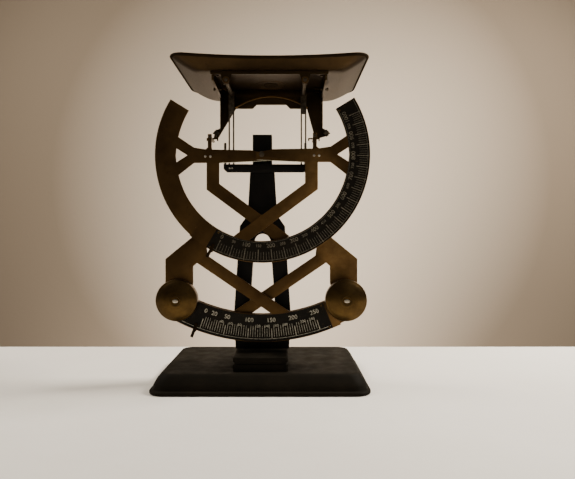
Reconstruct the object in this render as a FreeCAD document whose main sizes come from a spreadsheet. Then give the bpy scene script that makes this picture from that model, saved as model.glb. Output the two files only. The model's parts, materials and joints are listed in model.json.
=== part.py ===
import FreeCAD, Part
import math
import os
import re

import Sketcher

# Bilateral letter scale.  X runs left to right, Y from the front to the back and Z up.
# The origin is at the middle of the base's underside.  Each sub-part is one object of the
# document, and its sizes come from the sheet below, in millimetres and degrees.
# Angles on the arcs are counted from straight down at the fulcrum, positive to the right.

DIMENSIONS = {
    "Base and column": {
        "base_width": 180,
        "base_front": 59,
        "base_back": 71,
        "base_height": 16,
        "base_corner": 13,
        "base_bevel_in": 9.5,
        "base_bevel_down": 9,
        "foot_width": 45.5,
        "foot_front": 42,
        "foot_back": 24,
        "foot_height": 11.5,
        "foot_corner": 2,
        "foot_edge": 1.2,
        "foot_screw_inset": 12,
        "foot_screw_head": 4,
        "foot_screw_radius": 2,
        "foot_screw_low": 1,
        "foot_screw_sink": 4,
        "foot_screw_top": 23,
        "column_thickness": 10,
        "head_width": 17,
        "head_rise": 19,
        "neck_width": 21.5,
        "neck_drop": 14,
        "waist_width": 26,
        "waist_drop": 52,
        "shoulder_width": 40,
        "shoulder_drop": 62,
        "leg_spread": 47.5,
        "knee_width": 50,
        "knee_drop": 138,
        "leg_gap": 26,
        "sill_height": 12,
        "arch_width": 14.5,
        "arch_drop": 76,
        "fulcrum_height": 198,
    },
    "Crossbar and fulcrum": {
        "crossbar_left": 34,
        "crossbar_right": 39.5,
        "crossbar_top": 7.4,
        "crossbar_height": 7.2,
        "crossbar_thickness": 2.6,
        "crossbar_corner": 3,
        "peg_radius": 1.1,
        "peg_inset": 1.4,
        "peg_rise": 11.4,
        "guide_pin_radius": 1.2,
        "guide_pin_length": 4.4,
        "guide_pin_head": 2.2,
        "guide_head_thickness": 0.8,
        "guide_head_y": 0.6,
        "axle_radius": 1.3,
        "axle_head": 2.2,
        "axle_front": 17.2,
        "axle_end": 3,
        "nut_radius": 3.3,
        "nut_thickness": 2.4,
        "spacer_radius": 3.2,
        "running_gap": 0.05,
        "side_gap": 0.2,
    },
    "Levers": {
        "plate_thickness": 1.2,
        "front_plate_y": 16,
        "rear_plate_y": 10,
        "arc_outer": 93.9,
        "arc_inner": 75.1,
        "arc_end": 121.5,
        "arc_overlap": 42,
        "low_arc_outer": 162.6,
        "low_arc_inner": 138.5,
        "low_arc_near": 30,
        "low_arc_far": 25,
        "bar_top": 5.2,
        "bar_bottom": 6.6,
        "bar_end": 5.2,
        "bar_waist": 4.6,
        "bar_dip": 0.7,
        "notch_half": 9.5,
        "notch_depth": 2.3,
        "fork_root": 59.5,
        "fork_shoulder": 1.6,
        "fork_reach": 78,
        "fork_top": 19.2,
        "fork_bottom": 21,
        "fork_hole_tip": 65.5,
        "fork_hole_half": 6.2,
        "fork_hole_bulge": 0.6,
        "post_inner": 37.5,
        "post_outer": 48.6,
        "post_bottom": 30.2,
        "diagonal_slope": 36.6,
        "diagonal_width": 10.9,
        "diagonal_run": 82,
        "diagonal_toe": 4,
        "diagonal_heel": 7,
        "shoulder_lap": 4,
        "shoulder_top_x": 60.7,
        "shoulder_top_z": 71.9,
        "shoulder_out_x": 83.5,
        "shoulder_out_z": 90.6,
        "shoulder_low_z": 126,
        "shoulder_foot_x": 77.5,
        "shoulder_foot_z": 134,
        "shoulder_heel_x": 62.5,
        "shoulder_heel_z": 128,
        "shoulder_in_x": 59.5,
        "shoulder_in_low": 111.4,
        "shoulder_in_z": 97,
        "shoulder_elbow": 3.4,
        "low_diagonal_x": 46.8,
        "low_diagonal_z": 87.8,
        "low_diagonal_slope": 34.3,
        "low_diagonal_width": 10.4,
        "low_diagonal_run": 90,
        "low_diagonal_heel": 16,
        "low_diagonal_lap_x": 1.4,
        "low_diagonal_lap_z": 10,
        "face_thickness": 0.4,
        "face_margin": 0.5,
        "face_start": 31,
        "low_face_near": 27,
        "low_face_far": 22.4,
        "rivet_radius": 0.9,
        "rivet_height": 0.45,
        "rivet_inset": 2.2,
        "rivet_angle": 2,
        "low_rivet_angle": 1,
    },
    "Weights and pointers": {
        "weight_x": 72.3,
        "weight_drop": 125.6,
        "weight_radius": 17.8,
        "weight_thickness": 13.5,
        "weight_rim": 8,
        "weight_edge": 0.8,
        "weight_dome_radius": 10.7,
        "weight_dome_depth": 11.5,
        "weight_back_y": 17.2,
        "weight_post_radius": 3,
        "weight_screw_radius": 1.6,
        "weight_screw_head": 2.6,
        "weight_screw_cap": 1,
        "pointer_angle": 28,
        "low_pointer_angle": 21,
        "pointer_width": 2.6,
        "pointer_thickness": 0.8,
        "pointer_front_y": 17.8,
        "pointer_reach": 6,
        "pointer_tail": 5.4,
        "pointer_bridge": 1.2,
    },
    "Load brackets": {
        "bracket_width": 7,
        "bracket_low": 4.2,
        "bracket_post": 3.4,
        "bracket_thickness": 1.4,
        "bracket_offset": 1.5,
        "bracket_shoulder": 1,
        "bracket_neck": 2,
        "bracket_end": 2.4,
        "bracket_rivet_radius": 1.1,
        "bracket_rivet_shift": 2.2,
        "bracket_rivet_drop": 0.9,
        "load_pin_x": 46,
        "load_pin_rise": 16.5,
        "load_pin_radius": 1.2,
        "load_pin_back": 17.5,
    },
    "Carrier": {
        "guide_offset": 4.5,
        "frame_offset": 7.6,
        "plate_y": 14,
        "carrier_thickness": 1.6,
        "pan_rise": 63,
        "apron_bottom": 46,
        "apron_notch": 13.5,
        "apron_notch_rise": 3.6,
        "leg_outer": 47.1,
        "leg_inner": 32.5,
        "leg_knee": 28,
        "leg_tip": 4.4,
        "shoe_middle": 46.55,
        "shoe_half": 5.35,
        "shoe_rise": 18,
        "shoe_wall": 1.2,
        "shoe_lip": 1.6,
        "ear_outer": 52.5,
        "ear_top": 25.5,
        "ear_bottom": 21.5,
        "leg_screw_x": 50.5,
        "leg_screw_rise": 23.4,
        "leg_screw_radius": 0.9,
        "leg_screw_head": 2.1,
        "front_bar_y": 47,
        "front_bar_half": 47.8,
        "front_bar_height": 2.6,
        "lug_width": 4.6,
        "lug_tip": 2.1,
        "lug_lap": 0.5,
        "side_bar_height": 7,
        "side_bar_half": 46.2,
        "side_pin_root": 2,
        "side_pin_radius": 0.8,
        "side_pin_head": 1.5,
        "side_pin_reach": 51,
        "side_pin_y": 2,
        "side_pin_drop": 3.5,
        "tab_width": 7,
        "tab_depth": 8,
        "shaft_half": 32,
        "shaft_drop": 7.5,
        "shaft_radius": 1.5,
        "shaft_end": 1.6,
        "shaft_nut_radius": 2.85,
        "shaft_nut_thickness": 1.4,
        "link_wire": 1.3,
        "link_gap": 1.28,
        "link_slot": 50,
        "link_slack": 0.3,
        "link_end": 3,
        "link_thickness": 1.4,
        "link_y": 3.4,
    },
    "Pan": {
        "pan_middle": 5,
        "pan_width": 162,
        "pan_depth": 127,
        "pan_bow": 3,
        "pan_corner": 12,
        "pan_floor": 0.9,
        "pan_floor_width": 118,
        "pan_floor_depth": 101,
        "pan_end_height": 13,
        "pan_side_height": 9,
        "pan_screw_radius": 1.3,
        "pan_screw_head": 2.2,
        "pan_screw_length": 3,
    },
    "Cutting tools": {
        "tool_length": 6,
        "tool_start": 1,
        "tool_reach": 3,
    },
}

doc = FreeCAD.newDocument("LetterScale")
sheet = doc.addObject("Spreadsheet::Sheet", "Dims")
ALIASES = set()


def fill_sheet():
    """Writes one row for each driving dimension, with its alias."""
    row = 1
    for heading, sizes in DIMENSIONS.items():
        sheet.set(f"A{row}", heading)
        row += 1
        for alias, size in sizes.items():
            sheet.set(f"A{row}", alias.replace("_", " "))
            sheet.set(f"B{row}", str(size))
            sheet.setAlias(f"B{row}", alias)
            ALIASES.add(alias)
            row += 1
    doc.recompute()


def formula(text):
    """Turns sheet aliases in a formula into references to the sheet."""
    return re.sub(r"[a-z_]+", lambda word: "Dims." * (word[0] in ALIASES) + word[0], str(text))


def number(text):
    """The present value of a formula."""
    found = sheet.evalExpression(formula(text))
    return float(getattr(found, "Value", found))


def bind(item, **sizes):
    """Ties an object's properties to formulas on the sheet."""
    for name, text in sizes.items():
        item.setExpression(name, formula(text))
    return item


def place(item, x=0, y=0, z=0, turn=None):
    """Puts an object at a point given by formulas, after an optional fixed rotation."""
    item.Placement = FreeCAD.Placement(FreeCAD.Vector(0, 0, 0), turn or FreeCAD.Rotation())
    for axis, text in (("x", x), ("y", y), ("z", z)):
        item.setExpression("Placement.Base." + axis, formula(text))
    return item


def spin(axis, angle):
    return FreeCAD.Rotation(FreeCAD.Vector(*axis), angle)


ALONG_Y = spin((1, 0, 0), -90)
UPRIGHT = spin((1, 0, 0), 90)
RISING = FreeCAD.Rotation()
finished = []


def part(item, label):
    """Marks an object as a finished sub-part with its own name."""
    item.Label = label
    finished.append(item)
    return item


def block(name, width, depth, height, x, y, z):
    """A box centred on x, with its front face at y and its underside at z."""
    item = bind(doc.addObject("Part::Box", name), Length=width, Width=depth, Height=height)
    return place(item, f"{x} - ({width}) / 2", y, z)


def rod(name, radius, length, x, y, z, turn=ALONG_Y):
    """A round bar that starts at a point and runs along Y unless it is turned."""
    item = bind(doc.addObject("Part::Cylinder", name), Radius=radius, Height=length)
    return place(item, x, y, z, turn)


def cut(name, base, tool):
    item = doc.addObject("Part::Cut", name)
    item.Base = base
    item.Tool = tool
    return item


def common(name, base, tool):
    item = doc.addObject("Part::Common", name)
    item.Base = base
    item.Tool = tool
    return item


def fuse(name, items):
    item = doc.addObject("Part::MultiFuse", name)
    item.Shapes = items
    item.Refine = True
    return item


def group(name, items):
    """Several separate solids that are one sub-part."""
    item = doc.addObject("Part::Compound", name)
    item.Links = items
    return item


def draw(sketch, points, arcs=()):
    """A closed outline through points given as formulas.

    An arc is (index, middle x, middle z): the edge after that point bends through the middle.
    """
    bends = {entry[0]: entry[1:] for entry in arcs}
    spots = [FreeCAD.Vector(number(x), number(z), 0) for x, z in points]
    edges = []
    for index, start in enumerate(spots):
        end = spots[(index + 1) % len(spots)]
        if index in bends:
            middle = FreeCAD.Vector(number(bends[index][0]), number(bends[index][1]), 0)
            clockwise = (middle - start).cross(end - middle).z < 0
            ends = (end, middle, start) if clockwise else (start, middle, end)
            edges.append(sketch.addGeometry(Part.Arc(*ends), False))
        else:
            edges.append(sketch.addGeometry(Part.LineSegment(start, end), False))
    first_end = {}
    for index, edge in enumerate(edges):
        geometry = sketch.Geometry[edge]
        begins_here = geometry.StartPoint.distanceToPoint(spots[index]) < 1e-6
        first_end[edge] = (1, 2) if begins_here else (2, 1)
    for index, edge in enumerate(edges):
        after = edges[(index + 1) % len(edges)]
        sketch.addConstraint(
            Sketcher.Constraint("Coincident", edge, first_end[edge][1], after, first_end[after][0])
        )
    for (x, z), edge, spot in zip(points, edges, spots):
        vertex = first_end[edge][0]
        for kind, text, size in (("DistanceX", x, spot.x), ("DistanceY", z, spot.y)):
            order = sketch.addConstraint(Sketcher.Constraint(kind, -1, 1, edge, vertex, size))
            sketch.setExpression(f"Constraints[{order}]", formula(text))
    for index in bends:
        centre = sketch.Geometry[edges[index]].Center
        chord = spots[(index + 1) % len(spots)] - spots[index]
        kind, size = ("DistanceY", centre.y) if abs(chord.x) > abs(chord.y) else ("DistanceX", centre.x)
        sketch.addConstraint(Sketcher.Constraint(kind, -1, 1, edges[index], 3, size))
    return sketch


def extrude(name, sketch, direction, length):
    """A solid made by carrying an outline along a direction."""
    item = doc.addObject("Part::Extrusion", name)
    item.Base = sketch
    item.DirMode = "Custom"
    item.Dir = FreeCAD.Vector(*direction)
    item.Solid = True
    return bind(item, LengthFwd=length)


def plate(name, points, y, thickness, arcs=()):
    """A flat plate in the XZ plane, from y backwards, with heights counted from the fulcrum."""
    sketch = draw(doc.addObject("Sketcher::SketchObject", name + "_outline"), points, arcs)
    place(sketch, 0, y, "fulcrum_height", UPRIGHT)
    return extrude(name, sketch, (0, 1, 0), thickness)


def sector(name, inner, outer, start, end, y, thickness):
    """A flat ring sector about the fulcrum, between two angles from straight down."""
    turn = ALONG_Y.multiply(spin((0, 0, 1), 90 - number(end)))
    disc = rod(name + "_disc", outer, thickness, 0, y, "fulcrum_height", turn)
    bind(disc, Angle=f"({end}) - ({start})")
    hole = rod(name + "_hole", inner, f"({thickness}) + 2 * tool_start", 0, f"({y}) - tool_start",
               "fulcrum_height")
    return cut(name, disc, hole)


def body_sketch(body, name, plane, offset=0):
    """An empty sketch on one of a body's own origin planes."""
    support = next(item for item in body.Origin.OriginFeatures if item.Role == plane)
    sketch = body.newObject("Sketcher::SketchObject", name)
    sketch.AttachmentSupport = [(support, "")]
    sketch.MapMode = "FlatFace"
    sketch.setExpression("AttachmentOffset.Base.z", formula(offset))
    return sketch


def feature(body, kind, name, **sizes):
    item = body.newObject("PartDesign::" + kind, name)
    return bind(item, **sizes)


def edges_where(shape, test):
    return [f"Edge{index}" for index, edge in enumerate(shape.Edges, 1) if test(edge)]


def is_upright(edge):
    box = edge.BoundBox
    return box.ZLength > 1 and box.XLength < 1e-6 and box.YLength < 1e-6


def rounded_block(label, width, front, back, height, corner, bevel, bevel_down, floor):
    """A casting with rounded upright corners and a bevel round its top."""
    body = doc.addObject("PartDesign::Body", label)
    sketch = body_sketch(body, label + "_plan", "XY_Plane", floor)
    half = f"({width}) / 2"
    front_y = f"0 - ({front})"
    draw(sketch, [(f"0 - {half}", front_y), (half, front_y), (half, back), (f"0 - {half}", back)])
    pad = feature(body, "Pad", label + "_pad", Length=height)
    pad.Profile = sketch
    doc.recompute()
    rounding = feature(body, "Fillet", label + "_corners", Radius=corner)
    rounding.Base = (pad, edges_where(pad.Shape, is_upright))
    doc.recompute()
    top = rounding.Shape.BoundBox.ZMax
    rim = edges_where(rounding.Shape, lambda edge: edge.BoundBox.ZMin > top - 1e-6)
    edge_break = feature(body, "Chamfer", label + "_bevel", Size=bevel_down, Size2=bevel)
    edge_break.ChamferType = "Two distances"
    edge_break.Base = (rounding, rim)
    return body


# ---------------------------------------------------------------- base and column


FOOT_SCREW_ROWS = ("0 - foot_front + foot_screw_inset", "foot_back - foot_screw_inset")


def bored(label, solid):
    """Cuts the clearance holes for the foot screws into the base or the foot."""
    for index, y in enumerate(FOOT_SCREW_ROWS):
        recess = rod(f"{label}_recess_{index}", "foot_screw_head + running_gap", "foot_screw_sink",
                     0, y, 0, RISING)
        bore = rod(f"{label}_bore_{index}", "foot_screw_radius + running_gap", "foot_screw_top",
                   0, y, 0, RISING)
        solid = cut(f"{label}_cut_{index}", solid, fuse(f"{label}_tool_{index}", [recess, bore]))
    return part(solid, label)


def make_base():
    return bored("base_casting", rounded_block(
        "base_blank", "base_width", "base_front", "base_back",
        "base_height", "base_corner", "base_bevel_in", "base_bevel_down", 0,
    ))


def make_foot():
    return bored("column_foot", rounded_block(
        "foot_blank", "foot_width", "foot_front", "foot_back",
        "foot_height", "foot_corner", "foot_edge", "foot_edge", "base_height",
    ))


def make_column():
    """The flat iron column: head, neck and two legs on a sill, with an arched window."""
    body = doc.addObject("PartDesign::Body", "column_blank")
    base = "base_height + foot_height"
    sill = "base_height + foot_height + sill_height"
    right = [
        ("leg_spread / 2", base),
        ("knee_width / 2", "fulcrum_height - knee_drop"),
        ("shoulder_width / 2", "fulcrum_height - shoulder_drop"),
        ("waist_width / 2", "fulcrum_height - waist_drop"),
        ("neck_width / 2", "fulcrum_height - neck_drop"),
        ("head_width / 2", "fulcrum_height - neck_drop / 2"),
        ("head_width / 2", "fulcrum_height + head_rise"),
    ]
    left = [(f"0 - ({x})", z) for x, z in reversed(right)]
    spring = "fulcrum_height - arch_drop"
    crown = ("0", "fulcrum_height - arch_drop + arch_width / 2")
    sketch = body_sketch(body, "column_outline", "XZ_Plane", "0 - column_thickness / 2")
    draw(sketch, right + left)
    draw(sketch, [("leg_gap / 2", sill), ("arch_width / 2", spring), ("0 - arch_width / 2", spring),
                  ("0 - leg_gap / 2", sill)], arcs=[(1, *crown)])
    pad = feature(body, "Pad", "column_pad", Length="column_thickness")
    pad.Profile = sketch
    bore = rod("column_bore", "axle_radius", "column_thickness + 2 * tool_start",
               0, "0 - column_thickness / 2 - tool_start", "fulcrum_height")
    return part(cut("column_bored", body, bore), "column_frame")


def make_foot_screws():
    """Two screws from under the base into the foot, with heads let into the base."""
    screws = []
    for index, y in enumerate(FOOT_SCREW_ROWS):
        head = rod(f"foot_screw_head_{index}", "foot_screw_head", "foot_screw_sink - foot_screw_low",
                   0, y, "foot_screw_low", RISING)
        shank = rod(f"foot_screw_shank_{index}", "foot_screw_radius",
                    "foot_screw_top - foot_screw_sink - foot_screw_low", 0, y, "foot_screw_sink", RISING)
        screws.append(fuse(f"foot_screw_{index}", [head, shank]))
    return part(group("foot_screw_pair", screws), "foot_screws")


def make_crossbar():
    """The flat bar across the column that holds the guide pins."""
    body = doc.addObject("PartDesign::Body", "crossbar")
    top = "fulcrum_height - crossbar_top"
    low = "fulcrum_height - crossbar_top - crossbar_height"
    corner = "fulcrum_height - crossbar_top - crossbar_height + crossbar_corner"
    sketch = body_sketch(body, "crossbar_outline", "XZ_Plane", "column_thickness / 2")
    draw(sketch, [
        ("0 - crossbar_left + crossbar_corner", low),
        ("crossbar_right - crossbar_corner", low),
        ("crossbar_right", corner),
        ("crossbar_right", top),
        ("0 - crossbar_left", top),
        ("0 - crossbar_left", corner),
    ])
    pad = feature(body, "Pad", "crossbar_pad", Length="crossbar_thickness")
    pad.Profile = sketch
    return part(body, "crossbar")


GUIDE_Z = "fulcrum_height - crossbar_top - crossbar_height / 2"


def guide_x(side):
    """Where a guide pin, its link and its hanger shaft stand."""
    return f"guide_offset + {side} * shaft_half"


def make_stop_pegs():
    """A short upright peg near each end of the crossbar, outside the guide links."""
    pegs = []
    y = "0 - column_thickness / 2 - crossbar_thickness / 2"
    for tag, x in (("left", "0 - crossbar_left + peg_inset"), ("right", "crossbar_right - peg_inset")):
        pegs.append(rod(f"stop_peg_{tag}", "peg_radius", "crossbar_top + peg_rise", x, y,
                        "fulcrum_height - crossbar_top", RISING))
    return part(group("stop_peg_pair", pegs), "stop_pegs")


def make_guide_pins():
    """Headed pins behind the crossbar's ends, which the slotted links slide on."""
    pins = []
    for side in (-1, 1):
        x = guide_x(side)
        tag = "left" if side < 0 else "right"
        shank = rod(f"guide_shank_{tag}", "guide_pin_radius", "guide_pin_length", x,
                    "0 - column_thickness / 2", GUIDE_Z)
        head = rod(f"guide_head_{tag}", "guide_pin_head", "guide_head_thickness", x,
                   "0 - guide_head_y", GUIDE_Z)
        pins.append(fuse(f"guide_pin_{tag}", [shank, head]))
    return part(group("guide_pin_pair", pins), "guide_pins")


def make_axle():
    """The fulcrum axle, its spacers and its nut."""
    z = "fulcrum_height"
    shank = rod("axle_shank", "axle_radius", "axle_front + column_thickness / 2 + axle_end",
                0, "0 - axle_front", z)
    head = rod("axle_head_disc", "axle_head", "axle_front - front_plate_y - side_gap", 0, "0 - axle_front", z)
    part(fuse("axle_turned", [shank, head]), "fulcrum_axle")
    spacers = []
    stretches = (
        ("0 - front_plate_y + plate_thickness + side_gap", "0 - rear_plate_y - side_gap"),
        ("0 - rear_plate_y + plate_thickness + side_gap", "0 - column_thickness / 2"),
    )
    for index, (front, back) in enumerate(stretches):
        length = f"({back}) - ({front})"
        ring = rod(f"spacer_ring_{index}", "spacer_radius", length, 0, front, z)
        bore = rod(f"spacer_bore_{index}", "axle_radius + running_gap", f"{length} + 2 * tool_start",
                   0, f"{front} - tool_start", z)
        spacers.append(cut(f"spacer_{index}", ring, bore))
    part(group("spacer_pair", spacers), "axle_spacers")
    nut = doc.addObject("Part::Prism", "nut_hex")
    nut.Polygon = 6
    bind(nut, Circumradius="nut_radius", Height="nut_thickness")
    place(nut, 0, "column_thickness / 2", z, ALONG_Y)
    bore = rod("nut_bore", "axle_radius", "tool_length", 0, "column_thickness / 2 - tool_start", z)
    return part(cut("nut_bored", nut, bore), "axle_nut")


# ---------------------------------------------------------------- levers


def web_points(side):
    """The fork, bar, post and upper diagonal of a lever, as one outline."""
    rise = "tan(diagonal_slope * 1 deg)"
    width = "diagonal_width / cos(diagonal_slope * 1 deg)"
    inner_bottom = f"post_bottom + (post_outer - post_inner) * {rise} - {width}"
    end_x = "post_outer - diagonal_run * cos(diagonal_slope * 1 deg)"
    end_z = "post_bottom + diagonal_run * sin(diagonal_slope * 1 deg)"
    points = [
        ("fork_reach", "fork_top"),
        ("fork_root", "bar_top + fork_shoulder"),
        ("post_outer", "bar_top"),
        ("notch_half", "bar_top - bar_dip"),
        ("0", "notch_depth"),
        ("0 - bar_end", "notch_depth"),
        ("0 - bar_end", "0 - bar_waist"),
        ("post_inner", "0 - bar_bottom"),
        ("post_inner", f"0 - ({inner_bottom})"),
        (f"{end_x} - diagonal_heel", f"0 - ({end_z}) - diagonal_heel * {rise} + {width}"),
        (f"{end_x} + diagonal_toe", f"0 - ({end_z}) + diagonal_toe * {rise}"),
        ("post_outer", "0 - post_bottom"),
        ("post_outer", "0 - bar_bottom"),
        ("fork_root", "0 - bar_bottom"),
        ("fork_reach", "0 - fork_bottom"),
    ]
    return [(f"{side} * ({x})", z) for x, z in points]


def shoulder_points(side):
    """The shoulder plate under the arc, down to the weight, and the lower diagonal."""
    rise = "tan(low_diagonal_slope * 1 deg)"
    width = "low_diagonal_width / cos(low_diagonal_slope * 1 deg)"
    run_x = "low_diagonal_run * cos(low_diagonal_slope * 1 deg)"
    run_z = "low_diagonal_run * sin(low_diagonal_slope * 1 deg)"
    under = f"0 - low_diagonal_z - {width}"
    elbow = "(shoulder_in_x - shoulder_elbow - low_diagonal_x)"
    points = [
        ("0 - shoulder_top_x + shoulder_lap", "0 - shoulder_top_z + shoulder_lap"),
        ("0 - shoulder_top_x", "0 - shoulder_top_z"),
        ("0 - shoulder_out_x", "0 - shoulder_out_z"),
        ("0 - shoulder_out_x", "0 - shoulder_low_z"),
        ("0 - shoulder_foot_x", "0 - shoulder_foot_z"),
        ("0 - shoulder_heel_x", "0 - shoulder_heel_z"),
        ("0 - shoulder_in_x", "0 - shoulder_in_low"),
        ("0 - shoulder_in_x", "0 - shoulder_in_z"),
        ("0 - shoulder_in_x + shoulder_elbow", f"{under} + {elbow} * {rise}"),
        (f"{run_x} - low_diagonal_x - low_diagonal_heel",
         f"{under} - ({run_z}) + low_diagonal_heel * {rise}"),
        (f"{run_x} - low_diagonal_x", f"0 - low_diagonal_z - ({run_z})"),
        ("0 - low_diagonal_x", "0 - low_diagonal_z"),
        ("0 - low_diagonal_x - low_diagonal_lap_x", "0 - low_diagonal_z + low_diagonal_lap_z"),
    ]
    return [(f"{side} * ({x})", z) for x, z in points]


def make_lever_plate(label, side, y):
    """One lever's brass plate.  Side 1 has its load arm on the right, side -1 on the left."""
    name = "right_arm" if side > 0 else "left_arm"
    thick = "plate_thickness"
    arcs = [("arc_end", "arc_overlap", "arc_inner", "arc_outer", "high"),
            ("low_arc_far", "low_arc_near", "low_arc_inner", "low_arc_outer", "low")]
    pieces = []
    for far, near, inner, outer, level in arcs:
        start, end = (f"0 - {near}", far) if side > 0 else (f"0 - {far}", near)
        pieces.append(sector(f"{name}_{level}_arc", inner, outer, start, end, y, thick))
    pieces.append(plate(f"{name}_web", web_points(side), y, thick))
    pieces.append(plate(f"{name}_shoulder", shoulder_points(side), y, thick))
    blank = fuse(f"{name}_blank", pieces)
    window = plate(
        f"{name}_fork_window",
        [(f"{side} * fork_hole_tip", "0"), (f"{side} * arc_inner", "fork_hole_half"),
         (f"{side} * (arc_inner + fork_hole_bulge)", "0"), (f"{side} * arc_inner", "0 - fork_hole_half")],
        f"{y} - tool_start", "plate_thickness + 2 * tool_start",
    )
    bore = rod(f"{name}_bore", "axle_radius + running_gap", "tool_length", 0, f"{y} - tool_start",
               "fulcrum_height")
    return part(cut(f"{name}_plate", cut(f"{name}_windowed", blank, window), bore), label)


def make_scale_faces():
    """The two black graduated faces on the front of the scale lever."""
    y = "0 - front_plate_y - face_thickness"
    upper = sector("upper_face", "arc_inner + face_margin", "arc_outer - face_margin",
                   "0 - face_start", "arc_end", y, "face_thickness")
    part(upper, "upper_scale_face")
    lower = sector("lower_face", "low_arc_inner + face_margin", "low_arc_outer - face_margin",
                   "0 - low_face_near", "low_face_far", y, "face_thickness")
    part(lower, "lower_scale_face")
    rivets = []
    spots = (
        ("arc_inner + rivet_inset", "0 - face_start + rivet_angle"),
        ("arc_outer - rivet_inset", "0 - face_start + rivet_angle"),
        ("arc_inner + rivet_inset", "arc_end - rivet_angle"),
        ("low_arc_inner + rivet_inset", "low_face_far - low_rivet_angle"),
        ("low_arc_outer - rivet_inset", "low_face_far - low_rivet_angle"),
    )
    for index, (radius, angle) in enumerate(spots):
        x = f"({radius}) * sin(({angle}) * 1 deg)"
        z = f"fulcrum_height - ({radius}) * cos(({angle}) * 1 deg)"
        rivets.append(rod(f"face_rivet_{index}", "rivet_radius", "rivet_height",
                          x, f"{y} - rivet_height", z))
    part(group("face_rivet_set", rivets), "face_rivets")


def make_weight(label, side, plate_y):
    """A turned brass counterweight with its screw, on a post from its lever's plate."""
    x = f"{side} * weight_x"
    z = "fulcrum_height - weight_drop"
    body = doc.addObject("PartDesign::Body", label)
    sketch = body_sketch(body, label + "_profile", "XY_Plane")
    bore = "weight_screw_radius + running_gap"
    draw(sketch, [
        (bore, "0"),
        ("weight_radius - weight_edge", "0"),
        ("weight_radius", "0 - weight_edge"),
        ("weight_radius", "0 - weight_rim"),
        (bore, "0 - weight_thickness"),
    ], arcs=[(3, "weight_dome_radius", "0 - weight_dome_depth")])
    turned = feature(body, "Revolution", label + "_turned", Angle=360)
    turned.Profile = sketch
    turned.ReferenceAxis = (sketch, ["V_Axis"])
    place(body, x, "0 - weight_back_y", z)
    part(body, label)
    post = rod(f"{label}_post_rod", "weight_post_radius",
               f"weight_back_y - {plate_y}", x, "0 - weight_back_y", z)
    part(post, label + "_post")
    face = "0 - weight_back_y - weight_thickness"
    head = rod(f"{label}_screw_head", "weight_screw_head", "weight_screw_cap", x,
               f"{face} - weight_screw_cap", z)
    shank = rod(f"{label}_screw_shank", "weight_screw_radius", "weight_thickness", x, face, z)
    part(fuse(f"{label}_screw_turned", [head, shank]), label + "_screw")


def make_load_bracket(prefix, side, plate_y):
    """The bracket behind a lever's bar, its two rivets, and the pin that carries the load."""
    back = f"0 - {plate_y} + plate_thickness"
    half = "bracket_width / 2"
    post = "bracket_post / 2"
    middle = "load_pin_x + bracket_offset"
    shoulder = "bar_top - bracket_shoulder"
    neck = "bar_top + bracket_neck"
    top = "load_pin_rise + bracket_end"
    outline = [
        (f"{middle} - {half}", "0 - bracket_low"), (f"{middle} + {half}", "0 - bracket_low"),
        (f"{middle} + {half}", shoulder), (f"load_pin_x + {post}", neck),
        (f"load_pin_x + {post}", top), (f"load_pin_x - {post}", top),
        (f"load_pin_x - {post}", neck), (f"{middle} - {half}", shoulder),
    ]
    outline = [(f"{side} * ({x})", z) for x, z in outline]
    blank = plate(f"{prefix}_bracket_blank", outline, back, "bracket_thickness")
    x = f"{side} * load_pin_x"
    z = "fulcrum_height + load_pin_rise"
    bore = rod(f"{prefix}_bracket_bore", "load_pin_radius", "tool_length", x, f"{back} - tool_start", z)
    part(cut(f"{prefix}_bracket_cut", blank, bore), f"{prefix}_load_bracket")
    part(rod(f"{prefix}_pin_rod", "load_pin_radius", f"load_pin_back - ({back})", x, back, z),
         f"{prefix}_load_pin")
    rivets = []
    for index, hand in enumerate((-1, 1)):
        rivets.append(rod(f"{prefix}_bracket_rivet_{index}", "bracket_rivet_radius", "rivet_height",
                          f"{side} * ({middle} + {hand} * bracket_rivet_shift)",
                          f"0 - {plate_y} - rivet_height", "fulcrum_height - bracket_rivet_drop"))
    part(group(f"{prefix}_rivet_pair", rivets), f"{prefix}_bracket_rivets")


def make_pointer(label, angle, rim, reach):
    """A brass strip on the plain lever that folds over the rim and points at the scale."""
    turn = ALONG_Y.multiply(spin((0, 0, 1), 90 - number(angle)))
    front = "(pointer_front_y + pointer_thickness)"
    steps = (
        ("hand", f"{rim} - ({reach})", f"{reach} + pointer_bridge + pointer_tail",
         f"0 - {front}", "pointer_thickness"),
        ("bridge", f"{rim} + pointer_bridge - pointer_thickness / 2", "pointer_thickness",
         f"0 - {front}", f"{front} - rear_plate_y + plate_thickness + pointer_thickness"),
        ("tab", f"{rim} - pointer_reach / 2", "pointer_reach / 2 + pointer_bridge",
         "0 - rear_plate_y + plate_thickness", "pointer_thickness"),
    )
    strips = []
    for step, radius, length, y, thickness in steps:
        strip = bind(doc.addObject("Part::Box", f"{label}_{step}"),
                     Length=length, Width="pointer_width", Height=thickness)
        shift = FreeCAD.Placement(FreeCAD.Vector(number(radius), -number("pointer_width") / 2, 0),
                                  FreeCAD.Rotation())
        spot = FreeCAD.Vector(0, number(y), number("fulcrum_height"))
        strip.Placement = FreeCAD.Placement(spot, turn).multiply(shift)
        strips.append(strip)
    return part(fuse(f"{label}_strip", strips), label)


# ---------------------------------------------------------------- carrier and pan


SHAFT_Z = "fulcrum_height + pan_rise - shaft_drop"


def across(text):
    """A place counted from the middle of the pan and its frame."""
    return f"frame_offset + ({text})"


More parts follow.
